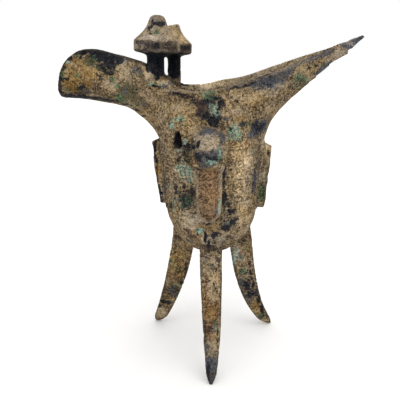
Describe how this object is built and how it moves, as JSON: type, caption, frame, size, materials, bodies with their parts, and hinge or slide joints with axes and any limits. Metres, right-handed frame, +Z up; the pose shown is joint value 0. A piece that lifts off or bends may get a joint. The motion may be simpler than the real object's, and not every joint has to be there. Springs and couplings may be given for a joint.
{
  "type": "tripod wine cup",
  "caption": "Ancient bronze tripod wine cup (jue) with a channel spout, a pointed tail, capped posts on the rim, curved blade legs, side flanges and an animal-headed strap handle",
  "frame": {"origin": "on the ground plane of the feet, under the middle of the overall box", "axes": "+X along the cup from the spout's lip to the tail's tip, +Y away from the handle, +Z up"},
  "size_m": [0.1662, 0.0878, 0.2001],
  "materials": {
    "bronze": "matte tan earth crust and dark, green and turquoise patina over cast bronze"
  },
  "bodies": {
    "root": {"jue": "bronze"}
  },
  "joints": []
}
